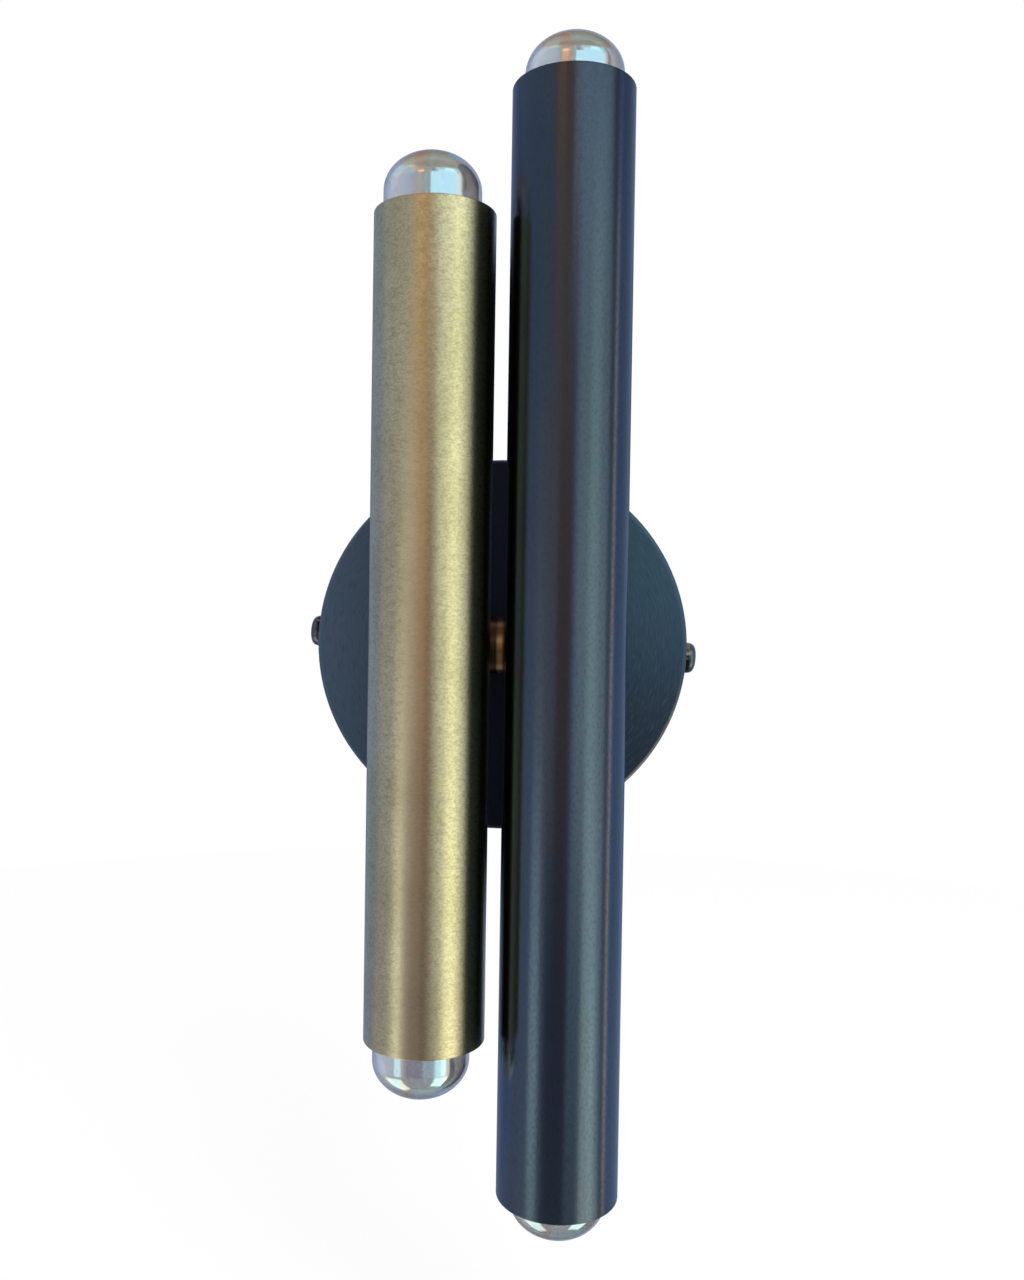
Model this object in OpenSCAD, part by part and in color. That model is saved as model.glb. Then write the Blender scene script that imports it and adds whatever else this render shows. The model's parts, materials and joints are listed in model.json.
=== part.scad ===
// Wall light with two upright tubes side by side on a round canopy. Each tube is open at both ends and
// holds an upper and a lower lamp, whose glass stands a little proud of the tube.
// Millimetres. The wall is the plane y = 0, the front is -Y, up is +Z, and the canopy's centre is the origin.

/* [Tubes] */
// Outside diameter of both tubes
tube_d = 38.1; // [37:0.1:50]
// Wall of both tubes
tube_wall = 1.6; // [1:0.1:2.2]
// Gap between the two tubes
tube_gap = 4.3; // [2:0.1:16]
// Rounding of the tubes' cut ends
rim_r = 0.4; // [0.1:0.1:0.4]

/* [Bulbs] */
// Gap all round between a bulb's glass and its tube
bulb_gap = 2.15; // [1.5:0.05:3]
// Length of a bulb from its contact to the top of its glass
bulb_len = 110; // [90:1:114]
// Height of the glass's rounded end
dome_h = 11.8; // [8:0.1:15]
// Wall of the glass
glass_wall = 0.8; // [0.5:0.1:1.5]
// How far the upper bulb stands out of the brass tube
brass_top_proud = 18.8; // [14:0.1:30]
// How far the lower bulb stands out of the brass tube
brass_bottom_proud = 18.0; // [14:0.1:30]
// How far the upper bulb stands out of the dark tube
dark_top_proud = 16.4; // [0:0.1:30]
// How far the lower bulb stands out of the dark tube
dark_bottom_proud = 12.4; // [0:0.1:30]
// Sideways place of the brass tube's lamps, from the tube's axis
brass_lamp_shift = -0.9; // [-1:0.1:1]
// Sideways place of the dark tube's lamps, from the tube's axis
dark_lamp_shift = 0.1; // [-1:0.1:1]

/* [Stems] */
// Bare length of pipe between the tee and the brass tube's upper lamp holder
brass_top_stem = 16.8; // [2:0.1:120]
// Bare length of pipe between the tee and the brass tube's lower lamp holder
brass_bottom_stem = 5; // [2:0.1:120]
// Bare length of pipe between the tee and the dark tube's upper lamp holder
dark_top_stem = 52.6; // [2:0.1:160]
// Bare length of pipe between the tee and the dark tube's lower lamp holder
dark_bottom_stem = 47.2; // [2:0.1:160]

/* [Canopy] */
// Diameter of the canopy
canopy_d = 128; // [116:1:180]
// Depth of the canopy, from the wall to its face
canopy_depth = 23; // [20:1:40]
// Thickness of the canopy's sheet
canopy_wall = 1.2; // [0.8:0.1:1.3]
// Outside radius where the canopy's face meets its side
canopy_edge_r = 1.5; // [1.4:0.1:6]
// Turn of the canopy and its ear strap about the middle, with the tubes upright
canopy_turn = 3.3; // [-8:0.1:8]

/* [Hub] */
// Diameter of the bar behind the tubes
hub_d = 19; // [17:0.1:26]
// How far the bar reaches past a tube's axis
hub_past = 12; // [11:0.5:17]
// How deep a tube sits in the bar
saddle_depth = 1.2; // [0.6:0.1:2]
// Thickness of the collar between the canopy and the bar, behind the bar's back
collar_t = 1.6; // [1:0.1:6]
// Outside diameter of the collar
collar_d = 16; // [14:0.1:17]

/* [Threaded pipe] */
// Outside diameter of the threaded pipe
pipe_d = 10; // [9:0.1:11]
// Bore of the threaded pipe
pipe_bore = 7; // [6:0.1:8]
// Length of thread in each tapped part
pipe_grip = 5; // [4:0.1:5.5]
// Width across the flats of the pipe's nuts
pipe_nut_af = 14; // [13:0.1:15]
// Thickness of the pipe's nuts
pipe_nut_t = 3; // [2.5:0.1:3.5]

/* [Wall bracket] */
// Width of the strap that is fastened to the wall box
wall_strap_w = 22; // [18:1:26]
// Metal between the end of a slot and the end of its strap
slot_end_wall = 5.15; // [4:0.05:7]
// Thickness of both straps
strap_t = 1.8; // [1.2:0.1:2.5]
// Distance between the middles of the two slots
slot_spacing = 79.4; // [72:0.1:82]
// Length of a slot from end to end
slot_len = 14.3; // [8:0.1:16]
// Width of a slot
slot_w = 4.8; // [4:0.1:6]
// Width of the strap with the ears
ear_strap_w = 16; // [12:1:20]
// How far an ear reaches forward of the wall
ear_reach = 17; // [15:0.1:18]

/* [Side screws] */
// Diameter of a side screw's domed head
head_d = 10.8; // [8:0.1:12]
// Height of a side screw's head
head_h = 4.3; // [3:0.1:6]
// Diameter of a side screw's thread
screw_d = 4.1; // [3:0.1:5]
// Length of a side screw's thread
screw_len = 10; // [9:0.1:14]
// Distance of the side screws from the wall
screw_out = 11.5; // [9.5:0.1:12.5]

/* [Lamp holders] */
// Gap all round between a lamp holder and its tube
holder_gap = 1.95; // [1.3:0.05:3]
// Wall of a lamp holder's body
holder_wall = 1.4; // [1:0.1:2]
// Height of a lamp holder's body above the bulb's contact
holder_top = 21; // [16:0.1:24]
// Rise of the lamp thread in one turn
lamp_pitch = 3.63; // [3.5:0.01:3.8]

/* [Hidden] */
TUBES = ["brass", "dark"];
// Each lamp: its name, its tube's number, and 1 for up or -1 for down
LAMPS = [["brass_top", 0, 1], ["brass_bottom", 0, -1], ["dark_top", 1, 1], ["dark_bottom", 1, -1]];
LAMP_PIECES = ["holder_body", "screw_shell", "contact", "bulb_tip", "bulb_insulator", "bulb_cap",
    "bulb_glass", "bulb_filament"];
SIDES = ["left", "right"];

$fn = 96;
// Overrun of every cut
over = 1;
// Radial clearance where a shaft turns in a hole
run_gap = 0.05;
// Clearance where one piece only sits on or in another
seat_gap = 0.05;
// Clearance round what passes freely through a hole
free_gap = 0.3;
full_turn = 360;
half_turn = 180;
quarter_turn = 90;

tube_r = tube_d / 2;
tube_bore_r = tube_r - tube_wall;
tube_x = (tube_d + tube_gap) / 2;
hub_r = hub_d / 2;
hub_len = 2 * (tube_x + hub_past);
hub_y = -(canopy_depth + collar_t + hub_r);
tube_y = hub_y - hub_r + saddle_depth - tube_r;
bulb_d = tube_d - 2 * (tube_wall + bulb_gap);
tube_xs = [-tube_x, tube_x];
lamp_xs = [brass_lamp_shift - tube_x, dark_lamp_shift + tube_x];
stems = [brass_top_stem, brass_bottom_stem, dark_top_stem, dark_bottom_stem];
prouds = [brass_top_proud, brass_bottom_proud, dark_top_proud, dark_bottom_proud];

pipe_r = pipe_d / 2;
pipe_bore_r = pipe_bore / 2;
canopy_r = canopy_d / 2;
canopy_bore_r = canopy_r - canopy_wall;

lock_washer_t = 1;
lock_washer_rim = 2.6;
lock_washer_notches = 12;
lock_washer_notch_w = 1.2;
// How far the canopy's threaded pipe stands out of its nut
nipple_tail = 3;
canopy_nipple_back = -canopy_depth + canopy_wall + lock_washer_t + pipe_nut_t + nipple_tail;
// How far the collar wraps round the bar
collar_wrap = 3.4;

saddle_washer_r = 7;
// The nut's corners clear the tube's bore, also where a lamp sits beside its tube's axis
nut_corner = hex_r(pipe_nut_af) + max(abs(brass_lamp_shift), abs(dark_lamp_shift));
saddle_washer_t = tube_bore_r - sqrt(pow(tube_bore_r, 2) - pow(nut_corner, 2)) + free_gap;
hub_bore_r = 4;
hub_plug_gap = 1;
hub_plug_len = hub_past - max(abs(brass_lamp_shift), abs(dark_lamp_shift)) - pipe_r - hub_plug_gap;
chamfer = 0.8;
driver_slot_w = 1.1;
driver_slot_depth = 0.9;

tee_wall = 2.5;
tee_r = pipe_r + tee_wall;
tee_web = 1;
tee_h = 2 * (pipe_r + tee_web + pipe_grip);
tee_back_grip = 4;
lead_r = 1.3;
lead_offset = 1.6;
// How far the leads stay inside the mouth that they end in
lead_end_in = 1;

// Heights in a lamp, from the bulb's contact and positive towards its glass
cap_hub_r = 7.5;
cap_flange_in = 2.5;
holder_d = 2 * (tube_bore_r - holder_gap);
cap_flange_r = holder_d / 2 - cap_flange_in;
cap_flange_t = 1.2;
body_floor = 5.8;
body_floor_top = -3;
body_bottom = body_floor_top - body_floor;
cap_bottom = body_bottom - cap_flange_t - pipe_grip;
// Room round the bulb's cap in the holder, for the screw shell
shell_room = 1;
body_cavity_r = holder_d / 2 - holder_wall;
cap_r = body_cavity_r - shell_room;
shell_t = 0.5;
shell_r = body_cavity_r - seat_gap;
shell_drop = 0.6;
shell_top = holder_top - shell_drop;
shell_eye_r = 8;
contact_w = 5;
contact_t = 0.5;
// Places along the contact strip, from its foot to its free end
contact_foot = 7.3;
contact_heel = 4.3;
contact_knee = 1.8;
contact_end = -3;
tip_r = 4.6;
tip_h = 1.6;
insulator_bottom = tip_h + seat_gap;
insulator_nose_r = 5.6;
insulator_top = 6.5;
bulb_cap_bottom = 5;
bulb_cap_top = 24.5;
bulb_cap_t = 0.4;
thread_depth = 0.9;
thread_start = 6;
thread_turns = 4.5;
cap_root_r = cap_r - thread_depth;
cap_bore_r = cap_root_r - bulb_cap_t;
neck_r = cap_bore_r - free_gap;
glass_bottom = 14;
shoulder_start = bulb_cap_top + free_gap;
shoulder_h = 13;
stem_r = 3.6;
stem_top = 38;
press_r = 2;
press_top = 42;
wire_r = 0.35;
wire_x = 1.3;
wire_out = 3.6;
wire_rise = 4;
filament_r = 0.6;
filament_bottom = 50;
filament_top = 80;

eyelet_r = 5;
eyelet_bore_r = 3.8;
eyelet_flange_r = 7;
eyelet_flange_t = 1;
// Front face of the straps where the eyelet's flange holds them, from the wall
eyelet_reach = 2 * strap_t + 2 * seat_gap;
bend_r = 3;
ground_z = -20;
ground_r = 2;
ground_washer_r = 4.6;
ground_washer_t = 0.8;
ground_head_af = 7;
ground_head_h = 2.6;
// Squareness of the head's domed outline, where 1 is a plain ellipse
head_round_share = 0.55;
head_back_r = canopy_r + seat_gap;

brass = [0.60, 0.51, 0.30];
bright_brass = [0.80, 0.62, 0.32];
dark_metal = [0.15, 0.15, 0.17];
slate = [0.22, 0.26, 0.31];
zinc = [0.72, 0.73, 0.75];
ground_green = [0.16, 0.42, 0.22];
black = [0.07, 0.07, 0.08];
sleeving = [0.85, 0.82, 0.74];
clear_glass = [0.80, 0.84, 0.90, 0.35];
tungsten = [0.45, 0.44, 0.42];

// Height of a lamp's contact, from the canopy's centre and counted away from it
function contact_out(i) = tee_h / 2 + stems[i] - cap_bottom;
// Height of a tube's end at a lamp, counted the same way
function tube_end(i) = contact_out(i) + bulb_len - prouds[i];
// Number of a tube's lamp on the upper side, for 1, or the lower, for -1
function lamp_at(t, dir) = [for (i = [0:len(LAMPS) - 1]) if (LAMPS[i][1] == t && LAMPS[i][2] == dir) i][0];
// Points on an arc, from one angle to another
function arc(cx, cy, r, a0, a1, steps = 8) =
    [for (k = [0:steps]) let (a = a0 + (a1 - a0) * k / steps) [cx + r * cos(a), cy + r * sin(a)]];
// Circumscribed radius of a hexagon with a given width across its flats
function hex_r(af) = af / 2 / cos(half_turn / 6);

// Puts children, drawn from z = 0 upwards, along +Y from a given point
module along_y(x, y, z = 0) {
    translate([x, y, z]) rotate([-quarter_turn, 0, 0]) children();
}

// Puts children at the foot of a lamp, with z along the lamp towards its glass
module at_lamp(i) {
    dir = LAMPS[i][2];
    translate([lamp_xs[LAMPS[i][1]], tube_y, dir * contact_out(i)])
        rotate([dir > 0 ? 0 : half_turn, 0, 0])
            children();
}

module pipe(h) {
    difference() {
        cylinder(r = pipe_r, h = h);
        translate([0, 0, -over]) cylinder(r = pipe_bore_r, h = h + 2 * over);
    }
}

module pipe_nut(h) {
    difference() {
        cylinder(r = hex_r(pipe_nut_af), h = h, $fn = 6);
        translate([0, 0, -over]) cylinder(r = pipe_r + seat_gap, h = h + 2 * over);
    }
}

// Round bar along z with chamfered ends
module round_bar(r, h) {
    rotate_extrude()
        polygon([[0, 0], [r - chamfer, 0], [r, chamfer], [r, h - chamfer], [r - chamfer, h], [0, h]]);
}

module wall_strap() {
    strap_len = slot_spacing + slot_len + 2 * slot_end_wall;
    color(zinc)
        difference() {
            along_y(0, -strap_t)
                linear_extrude(strap_t)
                    intersection() {
                        square([wall_strap_w, strap_len], center = true);
                        circle(d = strap_len);
                    }
            for (side = [-1, 1])
                for (end = [-1, 1])
                    along_y(0, -strap_t - over, side * slot_spacing / 2 + end * (slot_len - slot_w) / 2)
                        cylinder(d = slot_w, h = strap_t + 2 * over);
            for (side = [-1, 1])
                translate([-slot_w / 2, -strap_t - over, side * slot_spacing / 2 - (slot_len - slot_w) / 2])
                    cube([slot_w, strap_t + 2 * over, slot_len - slot_w]);
            along_y(0, -strap_t - over) cylinder(r = eyelet_r + seat_gap, h = strap_t + 2 * over);
            along_y(0, -strap_t - over, ground_z)
                cylinder(r = ground_r + seat_gap, h = strap_t + 2 * over);
        }
}

module strap_eyelet() {
    color(zinc)
        difference() {
            union() {
                along_y(0, -eyelet_reach) cylinder(r = eyelet_r, h = eyelet_reach);
                along_y(0, -eyelet_reach - eyelet_flange_t)
                    cylinder(r = eyelet_flange_r, h = eyelet_flange_t);
            }
            along_y(0, -eyelet_reach - eyelet_flange_t - over)
                cylinder(r = eyelet_bore_r, h = eyelet_reach + eyelet_flange_t + 2 * over);
        }
}

module ground_screw() {
    color(ground_green) {
        along_y(0, -strap_t - ground_washer_t, ground_z) cylinder(r = ground_washer_r, h = ground_washer_t);
        along_y(0, -strap_t - ground_washer_t - ground_head_h, ground_z)
            cylinder(r = hex_r(ground_head_af), h = ground_head_h, $fn = 6);
        along_y(0, -strap_t, ground_z) cylinder(r = ground_r, h = strap_t);
    }
}

module ear_strap() {
    back = -strap_t - seat_gap;
    ear_x = sqrt(pow(canopy_bore_r, 2) - pow(ear_strap_w / 2, 2)) - free_gap;
    bend_x = ear_x - bend_r;
    bend_y = back - bend_r;
    half = concat(
        [[0, back]],
        arc(bend_x, bend_y, bend_r, quarter_turn, 0),
        [[ear_x, -ear_reach], [ear_x - strap_t, -ear_reach]],
        arc(bend_x, bend_y, bend_r - strap_t, 0, quarter_turn),
        [[0, back - strap_t]]);
    color(zinc)
        rotate([0, canopy_turn, 0])
            difference() {
                for (side = [0, 1])
                    mirror([side, 0, 0])
                        linear_extrude(ear_strap_w, center = true)
                            polygon(half);
                along_y(0, back - strap_t - over) cylinder(r = eyelet_r + run_gap, h = strap_t + 2 * over);
                translate([-ear_x - over, -screw_out, 0])
                    rotate([0, quarter_turn, 0])
                        cylinder(r = screw_d / 2 + run_gap, h = 2 * (ear_x + over));
            }
}

// Spun pan, open towards the wall
module canopy() {
    edge_x = canopy_r - canopy_edge_r;
    edge_h = canopy_depth - canopy_edge_r;
    section = concat(
        [[canopy_r, 0]],
        arc(edge_x, edge_h, canopy_edge_r, 0, quarter_turn),
        [[0, canopy_depth], [0, canopy_depth - canopy_wall]],
        arc(edge_x, edge_h, canopy_edge_r - canopy_wall, quarter_turn, 0),
        [[canopy_bore_r, 0]]);
    color(slate)
        difference() {
            rotate([quarter_turn, 0, 0]) rotate_extrude() polygon(section);
            along_y(0, -canopy_depth - over)
                cylinder(r = pipe_r + free_gap, h = canopy_wall + 2 * over);
            rotate([0, canopy_turn, 0])
                translate([-canopy_r - over, -screw_out, 0])
                    rotate([0, quarter_turn, 0])
                        cylinder(r = screw_d / 2 + free_gap, h = canopy_d + 2 * over);
        }
}

module canopy_collar() {
    collar_h = collar_t + collar_wrap;
    color(brass)
        difference() {
            along_y(0, -canopy_depth - collar_h) cylinder(d = collar_d, h = collar_h);
            translate([-collar_d, hub_y, 0])
                rotate([0, quarter_turn, 0])
                    cylinder(r = hub_r + seat_gap, h = 2 * collar_d);
            along_y(0, -canopy_depth - collar_h - over)
                cylinder(r = pipe_r + seat_gap, h = collar_h + 2 * over);
        }
}

module canopy_nipple() {
    front = hub_y + hub_r - pipe_grip;
    color(zinc) along_y(0, front) pipe(canopy_nipple_back - front);
}

module canopy_lock_washer() {
    washer_r = pipe_r + lock_washer_rim;
    color(zinc)
        along_y(0, canopy_wall - canopy_depth)
            difference() {
                cylinder(r = washer_r, h = lock_washer_t);
                translate([0, 0, -over]) cylinder(r = pipe_r + seat_gap, h = lock_washer_t + 2 * over);
                for (k = [1:lock_washer_notches])
                    rotate(full_turn * k / lock_washer_notches)
                        translate([washer_r - lock_washer_rim / 3, -lock_washer_notch_w / 2, -over])
                            cube([lock_washer_rim, lock_washer_notch_w, lock_washer_t + 2 * over]);
            }
}

module canopy_nut() {
    color(zinc) along_y(0, canopy_wall + lock_washer_t - canopy_depth) pipe_nut(pipe_nut_t);
}

// The bar carries both tubes. They nest in its front, and its bore takes their leads to the canopy.
module hub() {
    saddle_y = tube_y + tube_r;
    color(brass)
        difference() {
            translate([-hub_len / 2, hub_y, 0]) rotate([0, quarter_turn, 0]) round_bar(hub_r, hub_len);
            translate([-hub_len / 2 - over, hub_y, 0])
                rotate([0, quarter_turn, 0])
                    cylinder(r = hub_bore_r, h = hub_len + 2 * over);
            for (x = tube_xs)
                translate([x, tube_y, -hub_r - over])
                    cylinder(r = tube_r + seat_gap, h = hub_d + 2 * over);
            for (x = lamp_xs) {
                along_y(x, saddle_y - hub_r) cylinder(r = pipe_r + seat_gap, h = hub_r + pipe_grip);
                along_y(x, saddle_y) cylinder(r = pipe_bore_r, h = hub_y - saddle_y);
            }
            along_y(0, hub_y) cylinder(r = pipe_bore_r, h = hub_r + over);
            along_y(0, hub_y + hub_r - pipe_grip) cylinder(r = pipe_r + seat_gap, h = pipe_grip + over);
        }
}

module hub_end_plugs() {
    color(brass)
        for (side = [0, 1])
            mirror([side, 0, 0])
                translate([hub_len / 2, hub_y, 0])
                    rotate([0, -quarter_turn, 0])
                        difference() {
                            cylinder(r = hub_bore_r - seat_gap, h = hub_plug_len);
                            translate([-driver_slot_w / 2, -hub_bore_r, -over])
                                cube([driver_slot_w, 2 * hub_bore_r, driver_slot_depth + over]);
                        }
}

module tube_nipples() {
    front = tube_y + tee_r - tee_back_grip;
    back = tube_y + tube_r + pipe_grip;
    color(zinc)
        for (x = lamp_xs)
            along_y(x, front) pipe(back - front);
}

// Washers with a curved back that fit the inside of the tubes
module tube_saddle_washers() {
    face = tube_y + tube_bore_r - saddle_washer_t;
    color(zinc)
        for (t = [0, 1])
            difference() {
                intersection() {
                    along_y(lamp_xs[t], face) cylinder(r = saddle_washer_r, h = tube_bore_r);
                    translate([tube_xs[t], tube_y, -tube_r]) cylinder(r = tube_bore_r - seat_gap, h = tube_d);
                }
                along_y(lamp_xs[t], face - over) cylinder(r = pipe_r + seat_gap, h = tube_bore_r);
            }
}

module tube_nuts() {
    face = tube_y + tube_bore_r - saddle_washer_t - pipe_nut_t;
    color(zinc)
        for (x = lamp_xs)
            along_y(x, face) pipe_nut(pipe_nut_t);
}

// A tube with softly rounded ends and one hole through its back
module tube(t) {
    top = tube_end(lamp_at(t, 1));
    bottom = -tube_end(lamp_at(t, -1));
    section = concat(
        arc(tube_r - rim_r, bottom + rim_r, rim_r, -quarter_turn, 0, 4),
        arc(tube_r - rim_r, top - rim_r, rim_r, 0, quarter_turn, 4),
        arc(tube_bore_r + rim_r, top - rim_r, rim_r, quarter_turn, half_turn, 4),
        arc(tube_bore_r + rim_r, bottom + rim_r, rim_r, half_turn, half_turn + quarter_turn, 4));
    color(t == 0 ? brass : dark_metal)
        difference() {
            translate([tube_xs[t], tube_y, 0]) rotate_extrude() polygon(section);
            along_y(lamp_xs[t], tube_y + tee_r) cylinder(r = pipe_r + free_gap, h = tube_r);
        }
}

module tube_tee(t) {
    color(brass)
        difference() {
            translate([lamp_xs[t], tube_y, -tee_h / 2]) round_bar(tee_r, tee_h);
            translate([lamp_xs[t], tube_y, -tee_h / 2 - over]) cylinder(r = pipe_bore_r, h = tee_h + 2 * over);
            for (end = [0, 1])
                mirror([0, 0, end])
                    translate([lamp_xs[t], tube_y, tee_h / 2 - pipe_grip])
                        cylinder(r = pipe_r + seat_gap, h = pipe_grip + over);
            along_y(lamp_xs[t], tube_y) cylinder(r = pipe_bore_r, h = tee_r + over);
            along_y(lamp_xs[t], tube_y + tee_r - tee_back_grip)
                cylinder(r = pipe_r + seat_gap, h = tee_back_grip + over);
        }
}

module tube_stems(t) {
    color(zinc)
        for (i = [0:len(LAMPS) - 1])
            if (LAMPS[i][1] == t) {
                foot = tee_h / 2 - pipe_grip - contact_out(i);
                at_lamp(i) translate([0, 0, foot]) pipe(cap_bottom + pipe_grip - foot);
            }
}

// Leads in sleeving: up and down the tube, back through its nipple, along the bar and into the canopy
module tube_leads(t) {
    x = lamp_xs[t];
    z = (t == 0 ? -1 : 1) * lead_offset;
    color(sleeving) {
        for (i = [0:len(LAMPS) - 1])
            if (LAMPS[i][1] == t)
                at_lamp(i)
                    translate([0, 0, -contact_out(i)])
                        cylinder(r = lead_r, h = contact_out(i) + body_floor_top - lead_end_in);
        along_y(x, tube_y, z) cylinder(r = lead_r, h = hub_y - tube_y);
        translate([x, hub_y, z]) sphere(r = lead_r);
        translate([min(x, 0), hub_y, z]) rotate([0, quarter_turn, 0]) cylinder(r = lead_r, h = abs(x));
        translate([0, hub_y, z]) sphere(r = lead_r);
        along_y(0, hub_y, z) cylinder(r = lead_r, h = canopy_nipple_back - lead_end_in - hub_y);
    }
}

module holder_caps() {
    color(zinc)
        for (i = [0:len(LAMPS) - 1])
            at_lamp(i)
                difference() {
                    union() {
                        translate([0, 0, cap_bottom]) cylinder(r = cap_hub_r, h = pipe_grip);
                        translate([0, 0, cap_bottom + pipe_grip]) cylinder(r = cap_flange_r, h = cap_flange_t);
                    }
                    translate([0, 0, cap_bottom - over]) cylinder(r = pipe_r + seat_gap, h = pipe_grip + over);
                    translate([0, 0, cap_bottom]) cylinder(r = pipe_bore_r, h = pipe_grip + cap_flange_t + over);
                }
}

module holder_body() {
    color(black)
        difference() {
            translate([0, 0, body_bottom]) cylinder(d = holder_d, h = holder_top - body_bottom);
            translate([0, 0, body_floor_top]) cylinder(r = body_cavity_r, h = holder_top - body_floor_top + over);
            translate([0, 0, body_bottom - over]) cylinder(r = pipe_bore_r, h = body_floor + 2 * over);
        }
}

module screw_shell() {
    color(bright_brass)
        rotate_extrude()
            polygon([
                [shell_eye_r, body_floor_top], [shell_r, body_floor_top], [shell_r, shell_top],
                [shell_r - shell_t, shell_top], [shell_r - shell_t, body_floor_top + shell_t],
                [shell_eye_r, body_floor_top + shell_t]]);
}

// Springy strip that rises from the holder's floor to the bulb's tip
module contact() {
    top = -free_gap;
    foot = body_floor_top;
    color(bright_brass)
        rotate([quarter_turn, 0, 0])
            linear_extrude(contact_w, center = true)
                polygon([
                    [contact_foot, foot], [contact_foot, foot + contact_t], [contact_heel, foot + contact_t],
                    [contact_knee, top], [contact_end, top], [contact_end, top - contact_t],
                    [contact_knee - contact_t, top - contact_t], [contact_heel - contact_t, foot]]);
}

module bulb_tip() {
    color(zinc)
        rotate_extrude()
            polygon(concat(
                [for (k = [0:6]) let (a = quarter_turn * k / 6) [tip_r * sin(a), tip_h / 2 * (1 - cos(a))]],
                [[tip_r, tip_h], [0, tip_h]]));
}

module bulb_insulator() {
    seat_r = cap_bore_r - seat_gap;
    color(black)
        rotate_extrude()
            polygon([
                [0, insulator_bottom], [insulator_nose_r, insulator_bottom], [seat_r, bulb_cap_bottom],
                [seat_r, insulator_top], [0, insulator_top]]);
}

// Screw cap, with the rounded form of its thread as rings
module bulb_cap() {
    steps = 8;
    color(zinc)
        rotate_extrude()
            polygon(concat(
                [[cap_bore_r, bulb_cap_bottom], [cap_root_r, bulb_cap_bottom]],
                [for (k = [0:steps * thread_turns])
                    [cap_root_r + thread_depth * (1 - cos(full_turn * k / steps)) / 2,
                    thread_start + lamp_pitch * k / steps]],
                [[cap_root_r, bulb_cap_top], [cap_bore_r, bulb_cap_top]]));
}

// Outline of the glass from its shoulder to the middle of its rounded end, drawn in by the given depth
function glass_outline(inset) =
    let (r = bulb_d / 2 - inset, neck = neck_r - inset, straight = bulb_len - dome_h)
    concat(
        [for (k = [0:8]) [neck + (r - neck) * (1 - cos(half_turn * k / 8)) / 2,
            shoulder_start + shoulder_h * k / 8]],
        [for (k = [0:16]) let (a = quarter_turn * k / 16) [r * cos(a), straight + (dome_h - inset) * sin(a)]]);

// Glass, closed at the foot by the stem that holds the wires
module bulb_glass() {
    inner = glass_outline(glass_wall);
    color(clear_glass)
        rotate_extrude()
            polygon(concat(
                [[0, glass_bottom], [neck_r, glass_bottom]],
                glass_outline(0),
                [for (k = [len(inner) - 1:-1:0]) inner[k]],
                [[neck_r - glass_wall, glass_bottom + glass_wall], [stem_r, glass_bottom + glass_wall],
                [stem_r, stem_top], [press_r, press_top], [0, press_top]]));
}

// Round rod from one point to another
module rod(p, q, r) {
    d = q - p;
    translate(p) rotate([0, acos(d.z / norm(d)), atan2(d.y, d.x)]) cylinder(r = r, h = norm(d));
}

// A bent wire through the given points, each stretch run on by the wire's radius at its bend
module wire(points, r) {
    last = len(points) - 1;
    for (k = [1:last]) {
        p = points[k - 1];
        q = points[k];
        step = (q - p) / norm(q - p) * r;
        rod(k > 1 ? p - step : p, k < last ? q + step : q, r);
    }
}

module bulb_filament() {
    color(tungsten) {
        wire([
            [wire_x, 0, press_top], [wire_x, 0, filament_bottom - wire_x], [0, 0, filament_bottom]], wire_r);
        wire([
            [-wire_x, 0, press_top], [-wire_x, 0, press_top + wire_rise],
            [-wire_out, 0, press_top + 2 * wire_rise], [-wire_out, 0, filament_top - wire_rise],
            [0, 0, filament_top]], wire_r);
        translate([0, 0, filament_bottom - wire_r])
            cylinder(r = filament_r, h = filament_top - filament_bottom + 2 * wire_r);
    }
}

// Puts children on the canopy's side, with z pointing out of it, on the left for -1 or the right for 1
module at_side(side) {
    rotate([0, canopy_turn, 0])
        translate([side * head_back_r, -screw_out, 0])
            rotate([0, side * quarter_turn, 0])
                children();
}

module screw_head() {
    r = head_d / 2;
    color(slate)
        rotate_extrude()
            polygon(concat(
                [[0, 0]],
                [for (k = [0:12]) let (a = quarter_turn * k / 12)
                    [r * pow(cos(a), head_round_share), head_h * pow(sin(a), head_round_share)]]));
}

module screw_shank() {
    color(zinc) translate([0, 0, -screw_len - seat_gap]) cylinder(d = screw_d, h = screw_len);
}

wall_strap();
strap_eyelet();
ground_screw();
ear_strap();
canopy();
canopy_collar();
canopy_nipple();
canopy_lock_washer();
canopy_nut();
hub();
hub_end_plugs();
tube_nipples();
tube_saddle_washers();
tube_nuts();
holder_caps();
for (t = [0, 1]) {
    tube(t);
    tube_tee(t);
    tube_stems(t);
    tube_leads(t);
}
for (i = [0:len(LAMPS) - 1]) {
    at_lamp(i) holder_body();
    at_lamp(i) screw_shell();
    at_lamp(i) contact();
    at_lamp(i) bulb_tip();
    at_lamp(i) bulb_insulator();
    at_lamp(i) bulb_cap();
    at_lamp(i) bulb_glass();
    at_lamp(i) bulb_filament();
}
for (s = [0, 1]) {
    at_side(2 * s - 1) screw_head();
    at_side(2 * s - 1) screw_shank();
}
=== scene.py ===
import json
import math

import bmesh
import bpy
from mathutils import Matrix, Vector


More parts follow.
